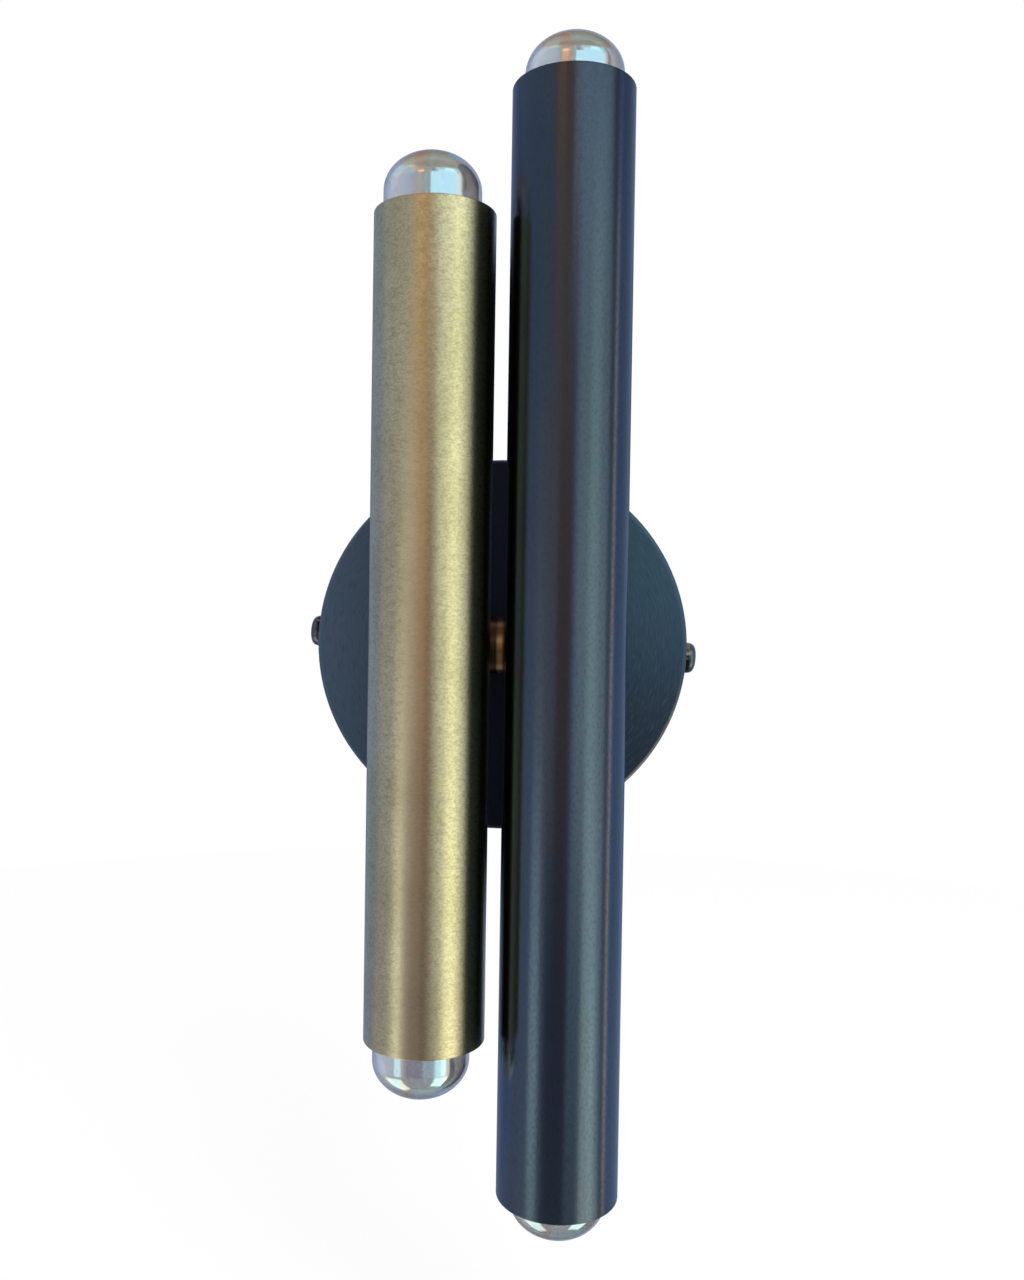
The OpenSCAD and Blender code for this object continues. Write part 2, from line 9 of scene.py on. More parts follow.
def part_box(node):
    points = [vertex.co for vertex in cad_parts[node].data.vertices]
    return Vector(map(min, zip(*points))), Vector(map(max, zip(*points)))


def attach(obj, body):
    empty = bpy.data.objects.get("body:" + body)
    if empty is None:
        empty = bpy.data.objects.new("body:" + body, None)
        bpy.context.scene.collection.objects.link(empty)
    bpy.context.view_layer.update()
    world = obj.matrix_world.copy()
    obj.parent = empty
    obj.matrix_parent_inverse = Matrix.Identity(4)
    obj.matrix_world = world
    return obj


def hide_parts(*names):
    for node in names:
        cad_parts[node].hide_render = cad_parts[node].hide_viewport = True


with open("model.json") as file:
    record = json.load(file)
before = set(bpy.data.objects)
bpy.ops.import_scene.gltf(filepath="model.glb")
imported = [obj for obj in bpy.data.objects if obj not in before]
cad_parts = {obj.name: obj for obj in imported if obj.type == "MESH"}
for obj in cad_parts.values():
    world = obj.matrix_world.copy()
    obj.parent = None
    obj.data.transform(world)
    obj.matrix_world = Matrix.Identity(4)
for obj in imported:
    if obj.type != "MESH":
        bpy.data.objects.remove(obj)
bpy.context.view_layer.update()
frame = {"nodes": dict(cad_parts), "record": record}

# Metres. The wall is the plane y = 0, the front is -Y, up is +Z.
LAMPS = ("brass_top", "brass_bottom", "dark_top", "dark_bottom")
# Distances from the middle: each tube's axis, the middle of the side screws' heads, and the painted
# highlight streak on the hub
TUBE_X = 0.0212
HEAD_MIDDLE = 0.0655
HUB_HIGHLIGHT_X = 0.0001


class Value:
    """One output of a node tree. Arithmetic on it adds Math nodes."""

    def __init__(self, shading, socket):
        self.shading = shading
        self.socket = socket

    def _math(self, operation, *values):
        return self.shading.node("ShaderNodeMath", {"operation": operation}, dict(enumerate(values)))

    def __add__(self, other):
        return self._math("ADD", self, other)

    def __sub__(self, other):
        return self._math("SUBTRACT", self, other)

    def __mul__(self, other):
        return self._math("MULTIPLY", self, other)

    def __radd__(self, other):
        return self._math("ADD", other, self)

    def __rsub__(self, other):
        return self._math("SUBTRACT", other, self)

    def __rmul__(self, other):
        return self._math("MULTIPLY", other, self)

    def __pow__(self, other):
        return self._math("POWER", self, other)

    def largest(self, other):
        return self._math("MAXIMUM", self, other)

    def absolute(self):
        return self._math("ABSOLUTE", self)

    def sine(self):
        return self._math("SINE", self)

    def arcsine(self):
        return self._math("ARCSINE", self)

    def arctangent(self, other):
        """The angle of the point (other, self), in radians."""
        return self._math("ARCTAN2", self, other)

    def between(self, low, high):
        """0 below low, 1 above high, and a smooth step from one to the other."""
        return self.shading.node(
            "ShaderNodeMapRange", {"interpolation_type": "SMOOTHSTEP"},
            {"Value": self, "From Min": low, "From Max": high})

    def within(self, low, low_end, high, high_end):
        """1 from low_end to high, 0 below low and above high_end, with smooth steps."""
        return self.between(low, low_end) * (1 - self.between(high, high_end))


class Shading:
    """The node tree of one material or of the world."""

    def __init__(self, tree):
        self.tree = tree
        tree.nodes.clear()

    def node(self, kind, settings=None, inputs=None, output=0):
        made = self.tree.nodes.new(kind)
        for name, value in (settings or {}).items():
            setattr(made, name, value)
        for name, value in (inputs or {}).items():
            if isinstance(value, Value):
                self.tree.links.new(value.socket, made.inputs[name])
            elif isinstance(value, tuple) and made.inputs[name].type == "RGBA":
                made.inputs[name].default_value = (*value, 1)
            else:
                made.inputs[name].default_value = value
        return Value(self, made.outputs[output])

    def place(self):
        return self.node("ShaderNodeTexCoord", output="Object")

    def axes(self, vector):
        return [self.node("ShaderNodeSeparateXYZ", {}, {0: vector}, axis) for axis in "XYZ"]

    def vector(self, x, y, z):
        return self.node("ShaderNodeCombineXYZ", {}, {0: x, 1: y, 2: z})

    def noise(self, vector, scale, detail=2, rough=0.5):
        """Noise with scale ripples to the metre along each axis."""
        stretched = self.node("ShaderNodeVectorMath", {"operation": "MULTIPLY"}, {0: vector, 1: scale})
        return self.node(
            "ShaderNodeTexNoise", {},
            {"Vector": stretched, "Scale": 1.0, "Detail": detail, "Roughness": rough})

    def mixed(self, share, first, second):
        return self.node(
            "ShaderNodeMix", {"data_type": "RGBA", "clamp_factor": True},
            {0: share, 6: first, 7: second}, output=2)

    def bump(self, height, depth, strength):
        return self.node(
            "ShaderNodeBump", {}, {"Height": height, "Distance": depth, "Strength": strength})

    def show(self, surface, kind="ShaderNodeOutputMaterial"):
        output = self.tree.nodes.new(kind)
        self.tree.links.new(surface.socket, output.inputs["Surface"])


def new_material(name):
    """An empty material and its shading."""
    material = bpy.data.materials.new(name)
    material.use_nodes = True
    return material, Shading(material.node_tree)


def finish(name, make):
    """A material whose surface is what make(shading) gives to the shader's sockets.

    Under "film" make can give the share and the sockets of a second surface that lies over the first."""
    material, shading = new_material(name)
    sockets = make(shading)
    film = sockets.pop("film", None)
    surface = shading.node("ShaderNodeBsdfPrincipled", {}, sockets)
    if film:
        over = shading.node("ShaderNodeBsdfPrincipled", {}, film[1])
        surface = shading.node("ShaderNodeMixShader", {}, {0: film[0], 1: surface, 2: over})
    shading.show(surface)
    return material


def aged_brass(shading):
    """Brass sheet with a brown age tone, rubbed to a fine satin grain. Its colour also holds a painted
    highlight, a painted brown reflection and painted shade towards the dark tube.
    """
    place = shading.place()
    grain = shading.noise(place, (1150, 1150, 1800), 3, 0.6)
    fleck = shading.noise(place, (420, 420, 700), 3, 0.6)
    cloud = shading.noise(place, (38, 38, 30), 4, 0.65)
    clean = shading.mixed(cloud.between(0.3, 0.7), (0.70, 0.67, 0.38), (0.88, 0.85, 0.52))
    toned = shading.mixed(fleck.between(0.45, 0.75) * 0.40, clean, (0.38, 0.33, 0.17))
    dulled = grain.between(0.35, 0.7) * 0.42 + cloud.between(0.5, 0.8) * 0.12
    rubbed = shading.mixed(dulled, toned, (0.34, 0.30, 0.16))
    x, y, z = shading.axes(place)
    across = x + TUBE_X
    # Painted highlight: a bright band left of the tube's middle, weaker towards the top.
    painted_highlight = across.within(-0.0085, -0.0045, -0.0010, 0.0020) * (0.35 + 0.45 * cloud)
    painted_highlighted = shading.mixed(painted_highlight * (1 - z.between(0.03, 0.12) * 0.7), rubbed, (1.0, 0.87, 0.54))
    # Painted reflection: a brown band just right of the tube's middle, fading out towards the top.
    brown = across.within(-0.0005, 0.0015, 0.0025, 0.0055) * (0.1 + 0.5 * cloud)
    with_brown_reflection = shading.mixed(brown * (1 - z.between(0.02, 0.09)), painted_highlighted, (0.52, 0.36, 0.19))
    # Painted shade: darker on the side of the tube that faces the dark tube.
    colour = shading.mixed(across.between(0.009, 0.014) * 0.32, with_brown_reflection, (0.10, 0.10, 0.09))
    return {
        "Base Color": colour,
        "Metallic": 1.0,
        "Roughness": 0.24 + 0.12 * grain,
        "Anisotropic": 0.55,
        "Anisotropic Rotation": 0.25,
        "Normal": shading.bump(grain + fleck * 0.6, 0.00006, 0.6),
    }


def dark_metal(shading):
    """Gunmetal tube with a fine grain. Its colour also holds painted shade towards its top and on the side
    towards the brass tube, and a painted purple-brown reflection about its middle.
    """
    place = shading.place()
    grain = shading.noise(place, (1300, 1300, 850), 3, 0.6)
    cloud = shading.noise(place, (20, 20, 26))
    tone = shading.mixed(cloud, (0.105, 0.160, 0.205), (0.125, 0.180, 0.225))
    rubbed = shading.mixed(grain.between(0.4, 0.75) * 0.38, tone, (0.055, 0.075, 0.095))
    x, y, z = shading.axes(place)
    across = x - TUBE_X
    # Painted shade: darker towards the top, and more so right of the middle near the top.
    depth = z.between(-0.09, 0.15) * 0.38 + z.between(0.11, 0.19) * across.between(0.0, 0.007) * 0.25
    top_shaded = shading.mixed(depth, rubbed, (0.025, 0.042, 0.066))
    # Painted reflection: a purple-brown band about the tube's middle, fading out low on the tube.
    warm_reflection_band = across.within(-0.010, -0.004, -0.001, 0.004) * z.between(-0.16, 0.05) * 0.35
    with_warm_reflection = shading.mixed(warm_reflection_band, top_shaded, (0.112, 0.086, 0.102))
    # Painted shade: near black on the side facing the brass tube, over the middle of its length.
    painted_gap_shade = z.within(-0.128, -0.122, 0.133, 0.139) * (TUBE_X - x).between(0.0116, 0.0155)
    colour = shading.mixed(painted_gap_shade * 0.75, with_warm_reflection, (0.01, 0.015, 0.03))
    return {
        "Base Color": colour,
        "Metallic": 1.0,
        "Roughness": 0.17 + 0.08 * grain,
        "Anisotropic": 0.6,
        "Anisotropic Rotation": 0.25,
        "Normal": shading.bump(grain, 0.00004, 0.5),
    }


def slate_finish(shading):
    """Blue-black lacquer over a brushed pan, worn to the brass at its edge. Its colour also holds painted
    light and shade: lighter at the left, darker low on the right, and near black between the tubes.
    """
    place = shading.place()
    x, y, z = shading.axes(place)
    radius = (x * x + z * z) ** 0.5
    turn = x.arctangent(z)
    lines = shading.noise(shading.vector(turn, radius, 0.0), (12, 2300, 1), 3, 0.65)
    cloud = shading.noise(place, (22, 22, 22))
    # Painted light and shade: this share takes the pan from the lighter colour at its left to the darker
    # one at its right.
    right = (x * 12 - z * 5 + 0.5 + (cloud - 0.5) * 0.8).between(0.0, 1.0)
    low_corner, high_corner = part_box("canopy")
    canopy_radius = (high_corner.x - low_corner.x) / 2
    canopy_front = low_corner.y
    # Painted shade: on the right the pan is darker low than high.
    low = shading.mixed(z.between(-0.04, 0.03), (0.012, 0.034, 0.066), (0.034, 0.098, 0.155))
    tone = shading.mixed(right, (0.060, 0.116, 0.195), low)
    brushed = shading.mixed(lines.between(0.5, 0.75) * 0.5, tone, (0.095, 0.140, 0.190))
    brushed = shading.mixed((1 - lines).between(0.5, 0.75) * 0.5, brushed, (0.016, 0.028, 0.045))
    front = 1 - y.between(canopy_front, canopy_front + 0.0004)
    # Painted shade: near black on the front of the pan between the tubes.
    canopy_gap_shade = x.within(-0.0115, -0.0085, 0.0085, 0.0115) * front
    brushed = shading.mixed(canopy_gap_shade * 0.85, brushed, (0.0, 0.004, 0.022))
    edge = radius.between(canopy_radius - 0.0013, canopy_radius - 0.0004)
    worn = edge * (x * 20 - z * 26 - 0.9 + cloud).between(1.1, 1.9) * 0.8
    return {
        "Base Color": shading.mixed(worn, brushed, (0.40, 0.38, 0.28)),
        "Metallic": 0.2 + 0.75 * worn,
        "Roughness": 0.36 + 0.1 * cloud,
        "Normal": shading.bump(lines, 0.00005, 0.6),
    }


def screw_finish(shading):
    """Slate lacquer on the side screws' heads, with painted shade on each head's half towards the canopy
    and warm painted highlights in blotches there.
    """
    place = shading.place()
    cloud = shading.noise(place, (300, 300, 300))
    x, y, z = shading.axes(place)
    out = x.absolute()
    rim = shading.mixed(cloud, (0.07, 0.10, 0.14), (0.13, 0.17, 0.20))
    # Painted shade: near black on the half of each head towards the canopy.
    outer_half = out.between(HEAD_MIDDLE - 0.0003, HEAD_MIDDLE + 0.0009)
    tone = shading.mixed(outer_half, (0.016, 0.018, 0.022), rim)
    # Painted highlights: warm blotches on the half of each head towards the canopy.
    painted_glint = cloud.between(0.52, 0.68) * (1 - out.between(HEAD_MIDDLE, HEAD_MIDDLE + 0.0010))
    return {
        "Base Color": shading.mixed(painted_glint * 0.8, tone, (0.42, 0.36, 0.26)),
        "Metallic": 0.75,
        "Roughness": 0.16 + 0.12 * cloud,
    }


def hub_brass(shading):
    """Turned brass bar with lathe marks round its length. Between the tubes its colour holds painted shade
    beside and above a narrow strip that stays bright as a painted highlight.
    """
    place = shading.place()
    marks = shading.noise(place, (3200, 260, 260))
    cloud = shading.noise(place, (60, 60, 60))
    x, y, z = shading.axes(place)
    tone = shading.mixed(cloud, (0.66, 0.40, 0.17), (0.84, 0.53, 0.24))
    # Painted shade beside a narrow strip between the tubes, which stays bright as a painted highlight.
    off_streak = (x - HUB_HIGHLIGHT_X).absolute()
    middle = 1 - off_streak.between(0.006, 0.012)
    tone = shading.mixed(off_streak.between(0.0004, 0.0014) * middle, tone, (0.10, 0.075, 0.045))
    # Painted shade: darker above the hub's middle, between the tubes.
    tone = shading.mixed(z.between(0.0015, 0.005) * middle * 0.6, tone, (0.20, 0.17, 0.12))
    return {
        "Base Color": shading.mixed(marks.between(0.5, 0.8) * 0.35, tone, (0.30, 0.20, 0.09)),
        "Metallic": 1.0,
        "Roughness": 0.24 + 0.14 * cloud,
        "Normal": shading.bump(marks, 0.00002, 0.4),
    }


def zinc(shading):
    """Zinc plate with a faint blue and yellow bloom."""
    place = shading.place()
    bloom = shading.noise(place, (90, 90, 90), 3, 0.6)
    grain = shading.noise(place, (900, 900, 900))
    tone = shading.mixed(bloom.between(0.35, 0.7), (0.60, 0.63, 0.68), (0.70, 0.68, 0.60))
    return {
        "Base Color": shading.mixed(grain.between(0.55, 0.8) * 0.3, tone, (0.42, 0.42, 0.43)),
        "Metallic": 1.0,
        "Roughness": 0.3 + 0.16 * bloom,
        "Normal": shading.bump(grain, 0.00002, 0.3),
    }


def ground_green(shading):
    """Green dyed screw."""
    grain = shading.noise(shading.place(), (500, 500, 500))
    return {
        "Base Color": shading.mixed(grain, (0.03, 0.19, 0.07), (0.07, 0.30, 0.12)),
        "Metallic": 0.7,
        "Roughness": 0.32 + 0.15 * grain,
    }


def holder_black(shading):
    """Moulded phenolic of the lamp holders."""
    place = shading.place()
    grain = shading.noise(place, (700, 700, 700), 3, 0.6)
    cloud = shading.noise(place, (80, 80, 80))
    return {
        "Base Color": shading.mixed(cloud, (0.012, 0.012, 0.013), (0.03, 0.029, 0.028)),
        "Roughness": 0.38 + 0.2 * cloud,
        "Normal": shading.bump(grain, 0.00003, 0.4),
    }


def shell_metal(shading):
    """Thin drawn brass of the screw shells and contacts."""
    place = shading.place()
    draw = shading.noise(place, (500, 500, 90))
    return {
        "Base Color": shading.mixed(draw.between(0.35, 0.75), (0.78, 0.56, 0.26), (0.62, 0.42, 0.18)),
        "Metallic": 1.0,
        "Roughness": 0.26 + 0.14 * draw,
    }


def cap_metal(shading):
    """Plated bulb caps, dull in the thread."""
    place = shading.place()
    scuff = shading.noise(place, (400, 400, 1400), 3, 0.6)
    return {
        "Base Color": shading.mixed(scuff.between(0.45, 0.8), (0.72, 0.70, 0.66), (0.50, 0.48, 0.45)),
        "Metallic": 1.0,
        "Roughness": 0.22 + 0.2 * scuff,
    }


def cap_glass(shading):
    """Black glass round the bulb's centre contact."""
    swirl = shading.noise(shading.place(), (350, 350, 350))
    return {
        "Base Color": shading.mixed(swirl, (0.008, 0.008, 0.010), (0.03, 0.025, 0.03)),
        "Roughness": 0.08 + 0.08 * swirl,
        "Coat Weight": 0.5,
    }


def solder(shading):
    """Dull solder of the bulbs' tips."""
    lumps = shading.noise(shading.place(), (450, 450, 450), 3, 0.6)
    return {
        "Base Color": shading.mixed(lumps, (0.42, 0.42, 0.43), (0.62, 0.62, 0.62)),
        "Metallic": 1.0,
        "Roughness": 0.32 + 0.2 * lumps,
        "Normal": shading.bump(lumps, 0.0001, 0.5),
    }


def filament(shading):
    """Dull wire of the filament and its supports."""
    grain = shading.noise(shading.place(), (900, 900, 900))
    return {
        "Base Color": shading.mixed(grain, (0.24, 0.23, 0.22), (0.42, 0.40, 0.38)),
        "Metallic": 1.0,
        "Roughness": 0.36 + 0.2 * grain,
    }


def sleeving(shading):
    """Cream woven sleeving on the leads."""
    x, y, z = shading.axes(shading.place())
    weave = ((x + y + z) * 5200).sine() * ((x + y - z) * 5200).sine()
    over = weave.between(-0.5, 0.6)
    dirt = shading.noise(shading.place(), (120, 120, 120))
    thread = shading.mixed(over, (0.42, 0.38, 0.30), (0.74, 0.69, 0.58))
    return {
        "Base Color": shading.mixed(dirt.between(0.5, 0.9) * 0.3, thread, (0.40, 0.36, 0.30)),
        "Roughness": 0.75 + 0.15 * dirt,
        "Normal": shading.bump(over, 0.0001, 0.7),
    }


def clear_glass(shading):
    """Glass of the stems that hold the bulbs' wires."""
    haze = shading.noise(shading.place(), (45, 45, 45))
    return {
        "Base Color": shading.mixed(haze, (0.97, 0.98, 1.0), (0.94, 0.95, 0.98)),
        "Roughness": 0.01 * haze,
        "Transmission Weight": 1.0,
        "IOR": 1.3,
    }


def thin_glass(shading):
    """Inside of a bulb's thin blown wall, which hardly bends what is seen through it."""
    haze = shading.noise(shading.place(), (45, 45, 45))
    return {
        "Base Color": shading.mixed(haze, (1.0, 0.98, 0.96), (0.98, 0.95, 0.92)),
        "Roughness": 0.004 * haze,
        "Transmission Weight": 1.0,
        "IOR": 1.03,
    }


def filmed_glass(shading):
    """Outside of a bulb, under a thin film that mirrors the room. The film's colour and strength change
    across the bulb as painted reflection: blue, with a grey band left of the middle, and tan at its right.
    """
    place = shading.place()
    haze = shading.noise(place, (45, 45, 45))
    x, y, z = shading.axes(place)
    facing = shading.node("ShaderNodeLayerWeight", {}, {"Blend": 0.5}, "Facing")
    # Painted reflection: the film's colour changes across the bulb, blue at the left, a grey band left of
    # the middle and tan at its right.
    painted_reflection_tint = shading.mixed(x.between(-0.012, -0.003), (0.66, 0.90, 1.0), (0.46, 0.88, 1.0))
    painted_band_reflection = x.within(-0.0055, -0.0040, -0.0022, -0.0010)
    painted_reflection_tint = shading.mixed(painted_band_reflection, painted_reflection_tint, (0.70, 0.76, 0.74))
    painted_reflection_tint = shading.mixed(x.between(0.007, 0.0105), painted_reflection_tint, (0.80, 0.71, 0.60))
    wall = thin_glass(shading)
    # Painted reflection: the film mirrors more towards its left and right sides and in the grey band.
    sides = 0.10 * x.between(-0.010, -0.002) + 0.14 * x.between(0.006, 0.0105)
    share = 0.47 + 0.04 * haze + 0.04 * painted_band_reflection + sides + 0.3 * facing.between(0.35, 0.85)
    wall["film"] = (share, {
        "Base Color": shading.mixed(facing.between(0.6, 0.9), painted_reflection_tint, (1.0, 0.92, 0.86)),
        "Metallic": 1.0,
        "Roughness": 0.02 + 0.02 * haze,
    })
    return wall


FINISHES = {
    make.__name__: finish(make.__name__, make)
    for make in (
        aged_brass, dark_metal, slate_finish, screw_finish, hub_brass, zinc, ground_green, holder_black,
        shell_metal, cap_metal, cap_glass, solder, filament, sleeving, clear_glass, thin_glass,
        filmed_glass)
}
NODE_SLOTS = {piece["node"]: piece["material_slot"] for piece in frame["record"]["subparts"]}

for node, piece in frame["nodes"].items():
    if not piece.material_slots:
        piece.data.materials.append(FINISHES[NODE_SLOTS[node]])
    for holder in piece.material_slots:
        holder.link = "OBJECT"
        holder.material = FINISHES[NODE_SLOTS[node]]


# Sides of a turned piece, the radius under which a ring is one point on the axis, and the angle from
# which an edge stays sharp
STEPS = 128
ON_AXIS = 1e-7
SHARP_ANGLE = math.radians(35)


def turned(name, outline, steps=STEPS, sharp_angle=SHARP_ANGLE):
    """A closed outline of (radius, height) points turned about the z axis, smooth but for its edges."""
    mesh = bpy.data.meshes.new(name)
    body = bmesh.new()
    rings = []
    for radius, height in outline:
        if radius < ON_AXIS:
            rings.append([body.verts.new((0, 0, height))])
            continue
        rings.append([
            body.verts.new((radius * math.cos(2 * math.pi * k / steps),
                            radius * math.sin(2 * math.pi * k / steps), height))
            for k in range(steps)])
    for ring, following in zip(rings, rings[1:] + rings[:1]):
        if len(ring) == 1 and len(following) == 1:
            continue
        for k in range(steps):
            after = (k + 1) % steps
            corners = [ring[k % len(ring)], ring[after % len(ring)],
                       following[after % len(following)], following[k % len(following)]]
            body.faces.new(list(dict.fromkeys(corners)))
    bmesh.ops.recalc_face_normals(body, faces=body.faces)
    body.to_mesh(mesh)
    body.free()
    mesh.shade_smooth()
    mesh.set_sharp_from_angle(angle=sharp_angle)
    piece = bpy.data.objects.new(name, mesh)
    bpy.context.scene.collection.objects.link(piece)
    return piece


# A bulb's glass: heights are from its contact
BULB_LENGTH = 0.110
BULB_RADIUS = 0.0153
DOME_HEIGHT = 0.0118
GLASS_WALL = 0.0008
GLASS_FOOT = 0.014
NECK_RADIUS = 0.0115
SHOULDER_START = 0.0248
SHOULDER_HEIGHT = 0.013
STEM_RADIUS = 0.0036
STEM_TOP = 0.038
PRESS_RADIUS = 0.002
PRESS_TOP = 0.042
SHOULDER_STEPS = 16
DOME_STEPS = 32
GLASS_SHARP_ANGLE = math.radians(50)


def glass_skin(inset):
    """Outline of the glass from its shoulder to the middle of its dome, drawn in by inset."""
    radius = BULB_RADIUS - inset
    neck = NECK_RADIUS - inset
    straight = BULB_LENGTH - DOME_HEIGHT
    points = []
    for k in range(SHOULDER_STEPS + 1):
        share = k / SHOULDER_STEPS
        rise = (1 - math.cos(math.pi * share)) / 2
        points.append((neck + (radius - neck) * rise, SHOULDER_START + SHOULDER_HEIGHT * share))
    for k in range(DOME_STEPS + 1):
        turn = math.pi / 2 * k / DOME_STEPS
        points.append((max(radius * math.cos(turn), 0), straight + (DOME_HEIGHT - inset) * math.sin(turn)))
    points[-1] = (0, BULB_LENGTH - inset)
    return points


def blow_bulb(lamp):
    """The bulb's glass, closed at its foot by the stem that holds the wires."""
    node = lamp + "_bulb_glass"
    low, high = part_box(node)
    up = 1 if lamp.endswith("top") else -1
    foot = low.z - GLASS_FOOT if up > 0 else high.z + GLASS_FOOT
    outline = (
        [(0, GLASS_FOOT), (NECK_RADIUS, GLASS_FOOT)] + glass_skin(0) + glass_skin(GLASS_WALL)[::-1]
        + [(NECK_RADIUS - GLASS_WALL, GLASS_FOOT + GLASS_WALL), (STEM_RADIUS, GLASS_FOOT + GLASS_WALL),
           (STEM_RADIUS, STEM_TOP), (PRESS_RADIUS, PRESS_TOP), (0, PRESS_TOP)])
    glass = turned(lamp + "_blown_glass", outline, sharp_angle=GLASS_SHARP_ANGLE)
    glass.data.transform(Matrix.Rotation(0 if up > 0 else math.pi, 4, "X"))
    glass.location = ((low.x + high.x) / 2, (low.y + high.y) / 2, foot)
    for part in ("clear_glass", "filmed_glass", "thin_glass"):
        glass.data.materials.append(FINISHES[part])
    skin_rows = len(glass_skin(0))
    for k, face in enumerate(glass.data.polygons):
        row = k // STEPS - 1
        outside = 0 < row < skin_rows
        inside = skin_rows <= row < 2 * skin_rows
        face.material_index = 1 if outside else 2 if inside else 0
    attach(glass, lamp + "_bulb")
    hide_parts(node)


for lamp in LAMPS:
    blow_bulb(lamp)


# What metal and glass see of the room: the bearing in degrees of each patch's middle, 0 in front of the
# light and positive to the right, its half width, the softness of its sides, the lowest and highest
# rise in degrees and their softness, and its colour. Later patches lie over earlier ones.
ROOM = {
    "left_wall": (-87, 24, 12, -90, 90, 1, (0.32, 0.318, 0.44)),
    "left_front": (-42, 24, 9, -90, 90, 1, (0.32, 0.32, 0.41)),
    "left_shelf": (-38, 22, 8, -14, 12, 7, (0.41, 0.37, 0.40)),
    "doorway": (-4, 14, 6, -90, 90, 1, (0.29, 0.175, 0.15)),
    "doorway_head": (-13, 16, 7, 10, 90, 7, (0.42, 0.37, 0.31)),
    "doorway_foot": (-9, 24, 6, -90, -12, 7, (0.075, 0.08, 0.13)),
    "curtain": (47, 31, 8, -90, 90, 1, (0.80, 0.80, 0.77)),
    "curtain_foot": (28, 15, 6, -90, -12, 6, (0.27, 0.28, 0.35)),
    "window": (49, 10, 7, -90, 90, 1, (1.20, 1.20, 1.06)),
    "window_foot": (61, 7, 4, -90, -16, 7, (1.60, 1.60, 1.45)),
    "low_window": (-51, 9, 4, -90, -12, 7, (1.02, 1.06, 1.06)),
    "window_frame": (84, 4.5, 3, -90, 90, 1, (0.26, 0.25, 0.26)),
    "right_wall": (113, 14, 6, -90, 90, 1, (0.32, 0.36, 0.54)),
    "curtain_rail": (94, 2.5, 1.5, -90, 20, 4, (1.80, 1.15, 0.85)),
    "ceiling": (0, 360, 1, 47, 90, 5, (0.34, 0.19, 0.10)),
    "high_left": (-72, 46, 5, 27, 50, 4, (0.42, 0.46, 0.50)),
    "high_beam": (-22, 14, 3, 26, 48, 3, (0.60, 0.27, 0.13)),
    "high_window": (36, 36, 2, 20, 30, 1.5, (1.05, 1.14, 1.22)),
    "high_window_peak": (42, 24, 2, 29, 38, 1.5, (1.05, 1.17, 1.25)),
    "high_window_top": (50, 13, 2, 36, 45, 1.5, (1.30, 1.45, 1.25)),
    "high_lamp": (-24, 8, 3, 29, 36, 3, (1.8, 1.0, 0.43)),
    "high_shelf": (-63, 13, 4, 45, 54, 3, (1.05, 0.65, 0.25)),
    "ground": (0, 360, 1, -90, -30, 4, (0.235, 0.205, 0.205)),
    "low_left_light": (-72, 27, 5, -72, -38, 4, (1.60, 1.45, 1.15)),
    "low_right_light": (62, 22, 5, -62, -31, 4, (1.90, 1.60, 1.25)),
}


def patch_mask(bearing, rise, middle, half, side, lowest, highest, end):
    """1 inside a patch of the room and 0 outside it, with soft sides and ends."""
    left, right = middle - half, middle + half
    between_sides = bearing.within(left - side, left + side, right - side, right + side)
    return between_sides * rise.within(lowest - end, lowest + end, highest - end, highest + end)


def set_up_room():
    """A plain room: white to the camera, with soft patches in place of its things for metal and glass."""
    world = bpy.data.worlds.new("room")
    world.use_nodes = True
    bpy.context.scene.world = world
    shading = Shading(world.node_tree)
    x, y, z = shading.axes(shading.node("ShaderNodeTexCoord", output="Generated"))
    bearing = x.arctangent(-1 * y) * (180 / math.pi)
    rise = z.arcsine() * (180 / math.pi)
    seen_by_metal = shading.mixed(x.between(-0.4, 0.4), (0.26, 0.31, 0.50), (0.40, 0.46, 0.66))
    for middle, half, side, lowest, highest, end, colour in ROOM.values():
        mask = patch_mask(bearing, rise, middle, half, side, lowest, highest, end)
        seen_by_metal = shading.mixed(mask, seen_by_metal, colour)
    ray = {name: shading.node("ShaderNodeLightPath", output=name)
           for name in ("Is Camera Ray", "Is Glossy Ray", "Is Transmission Ray")}
    colour = shading.mixed(ray["Is Glossy Ray"], (0.80, 0.80, 0.80), seen_by_metal)
    colour = shading.mixed(ray["Is Transmission Ray"], colour, (1.15, 1.12, 1.20))
    colour = shading.mixed(ray["Is Camera Ray"], colour, (1.0, 1.0, 1.0))
    light = shading.node("ShaderNodeBackground", {}, {"Color": colour, "Strength": 1.0})
    shading.show(light, "ShaderNodeOutputWorld")


# The wall's two halves, as left, right, lowest and highest edge. The brass tube's is shorter, as that tube
# is. Pieces nearer to the wall than CLEAR_WITHIN don't mirror it, and those beyond SEEN_BEYOND do.
SHADED_WALL = ((-0.5, 0.0, -0.225, 0.235), (0.0, 0.5, -0.282, 0.298))
SHADED_WALL_Y = 0.003
CLEAR_WITHIN = 0.034
SEEN_BEYOND = 0.040


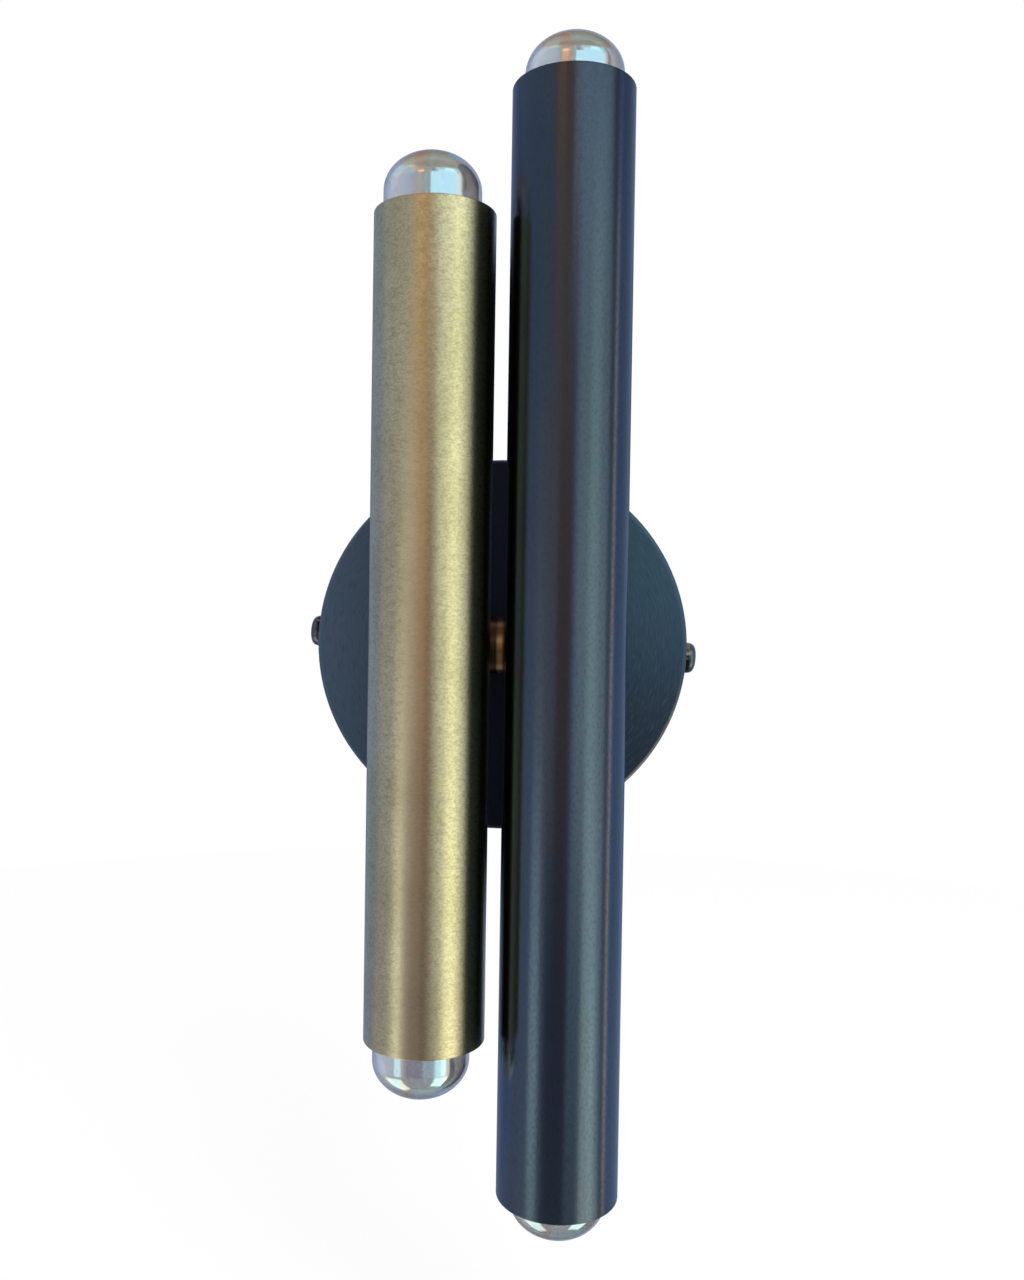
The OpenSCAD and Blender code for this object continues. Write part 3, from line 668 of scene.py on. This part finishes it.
def set_up_shaded_wall():
    """The wall as metal and glass see it from the front, dark behind the light. It is clear from behind."""
    mesh = bpy.data.meshes.new("shaded_wall")
    corners = []
    for left, right, low, high in SHADED_WALL:
        corners += [(x, SHADED_WALL_Y, z)
                    for x, z in ((left, low), (right, low), (right, high), (left, high))]
    mesh.from_pydata(corners, [], [(0, 1, 2, 3), (4, 5, 6, 7)])
    wall = bpy.data.objects.new("shaded_wall", mesh)
    bpy.context.scene.collection.objects.link(wall)
    material, shading = new_material("shaded_wall")
    x, y, z = shading.axes(shading.place())
    away = x.absolute()
    tone = shading.mixed(x.between(-0.01, 0.01), (0.215, 0.26, 0.44), (0.26, 0.34, 0.52))
    shade = (1 - away.between(0.045, 0.085)) * z.within(-0.115, -0.075, 0.135, 0.155)
    tone = shading.mixed(shade, tone, (0.002, 0.005, 0.014))
    glow = shading.node("ShaderNodeEmission", {}, {"Color": tone})
    clear = shading.node("ShaderNodeBsdfTransparent")
    behind = shading.node("ShaderNodeNewGeometry", output="Backfacing")
    length = shading.node("ShaderNodeLightPath", output="Ray Length")
    close = 1 - length.between(CLEAR_WITHIN, SEEN_BEYOND)
    both = shading.node("ShaderNodeMixShader", {}, {0: behind.largest(close), 1: glow, 2: clear})
    shading.show(both)
    mesh.materials.append(material)
    for rays in ("camera", "diffuse", "transmission", "shadow", "volume_scatter"):
        setattr(wall, "visible_" + rays, False)


FLOOR_TOP = -0.26
FLOOR_THICKNESS = 0.002
FLOOR_RADIUS = 0.9
FLOOR_STEPS = 96


def lay_floor():
    """A round pale floor well below the light."""
    underside = FLOOR_TOP - FLOOR_THICKNESS
    floor = turned("floor", [
        (0, underside), (0, FLOOR_TOP), (FLOOR_RADIUS, FLOOR_TOP), (FLOOR_RADIUS, underside)], FLOOR_STEPS)
    material, shading = new_material("pale_floor")
    lit = shading.node("ShaderNodeBsdfDiffuse", {}, {"Color": (0.30, 0.30, 0.30)})
    seen = shading.node("ShaderNodeLightPath", output="Is Camera Ray")
    glow = shading.node(
        "ShaderNodeEmission", {}, {"Color": shading.mixed(seen, (0.1, 0.1, 0.1), (0.74, 0.74, 0.74))})
    both = shading.node("ShaderNodeAddShader", {}, {0: lit, 1: glow})
    shading.show(both)
    floor.data.materials.append(material)
    floor.visible_glossy = False
    floor.visible_transmission = False


def hang_lamp(name, place, size, power, aim=(0, -0.05, 0)):
    """A round soft light that metal and glass don't see."""
    lamp = bpy.data.lights.new(name, "AREA")
    lamp.shape = "DISK"
    lamp.size = size
    lamp.energy = power
    rig = bpy.data.objects.new(name, lamp)
    rig.location = place
    rig.rotation_euler = (Vector(aim) - Vector(place)).to_track_quat("-Z", "Y").to_euler()
    rig.visible_glossy = False
    bpy.context.scene.collection.objects.link(rig)


def set_up_camera():
    """The place, turn and lens that were fitted to the tubes and the canopy."""
    lens = bpy.data.cameras.new("camera")
    lens.sensor_width = 36
    lens.lens = 31.526
    lens.shift_x = 0.0190
    lens.shift_y = -0.0022
    lens.clip_start = 0.01
    camera = bpy.data.objects.new("camera", lens)
    camera.location = (0.012392, -0.410671, 0.009717)
    camera.rotation_euler = (1.552458, -0.015178, 0.044370)
    bpy.context.scene.collection.objects.link(camera)
    bpy.context.scene.camera = camera


set_up_room()
set_up_shaded_wall()
lay_floor()
hang_lamp("soft_key", place=(0.45, -0.9, 0.7), size=0.6, power=4.0)
set_up_camera()
bpy.context.scene.view_settings.view_transform = "Standard"
